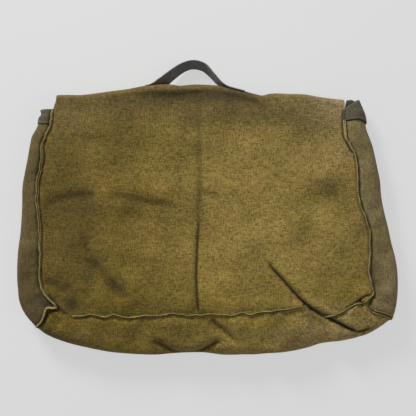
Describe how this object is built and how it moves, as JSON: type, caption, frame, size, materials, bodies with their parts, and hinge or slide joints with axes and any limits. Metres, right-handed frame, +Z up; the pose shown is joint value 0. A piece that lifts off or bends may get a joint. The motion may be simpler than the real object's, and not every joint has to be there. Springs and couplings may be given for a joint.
{
  "type": "canvas mail satchel",
  "caption": "Flat canvas mail satchel with a full-width flap, side and bottom gussets, standing seams and a webbing carry handle, lying on its front.",
  "frame": {"origin": "middle of the footprint, on the surface that the bag lies on", "axes": "+X across the bag's width, +Y from the bag's bottom to its handle, +Z up, out of the back panel; the bag lies on its front"},
  "size_m": [0.5123, 0.397, 0.0456],
  "materials": {
    "panel_canvas": "coarse olive linen canvas, matte",
    "gusset_canvas": "coarse grey-olive canvas, matte",
    "hem_canvas": "folded canvas hem, matte",
    "seam_canvas": "standing two-ply seam edge, matte",
    "handle_webbing": "dense dark grey cotton webbing, matte",
    "snap_metal": "aged dull brass",
    "spring_steel": "plain spring wire"
  },
  "bodies": {
    "root": {"back_panel": "panel_canvas", "front_panel": "panel_canvas", "left_gusset": "gusset_canvas", "bottom_gusset": "panel_canvas", "right_gusset": "gusset_canvas", "back_left_welt": "seam_canvas", "back_bottom_welt": "seam_canvas", "back_right_welt": "seam_canvas", "front_left_welt": "seam_canvas", "front_bottom_welt": "seam_canvas", "front_right_welt": "seam_canvas", "left_corner_welt": "seam_canvas", "right_corner_welt": "seam_canvas", "left_gusset_hem": "hem_canvas", "right_gusset_hem": "hem_canvas", "mouth_hem": "hem_canvas", "left_stud": "snap_metal", "right_stud": "snap_metal", "left_stud_backing": "snap_metal", "right_stud_backing": "snap_metal"},
    "flap_top": {"flap_top": "panel_canvas", "left_handle_patch": "hem_canvas", "right_handle_patch": "hem_canvas", "left_handle_end": "handle_webbing", "right_handle_end": "handle_webbing"},
    "flap": {"flap": "panel_canvas", "flap_left_hem": "hem_canvas", "flap_right_hem": "hem_canvas", "flap_lower_hem": "hem_canvas", "left_snap_cap": "snap_metal", "left_snap_socket": "snap_metal", "left_snap_spring": "spring_steel", "right_snap_cap": "snap_metal", "right_snap_socket": "snap_metal", "right_snap_spring": "spring_steel"},
    "handle": {"handle_loop": "handle_webbing"}
  },
  "joints": [
    {"name": "flap_lift", "type": "hinge", "parent": "root", "child": "flap_top", "pos_m": [-0.01, 0.1575, 0.0293], "axis": [1, 0, 0], "range_deg": [0, 90]},
    {"name": "flap_fold", "type": "hinge", "parent": "flap_top", "child": "flap", "pos_m": [-0.01, 0.1575, 0.0025], "axis": [1, 0, 0], "range_deg": [0, 90]},
    {"name": "handle_swing", "type": "hinge", "parent": "flap_top", "child": "handle", "pos_m": [-0.018, 0.1682, 0.0159], "axis": [1, 0, 0], "range_deg": [-40, 60]}
  ],
  "couplings": [
    {"joint": "flap_fold", "follows": "flap_lift", "ratio": 1}
  ]
}
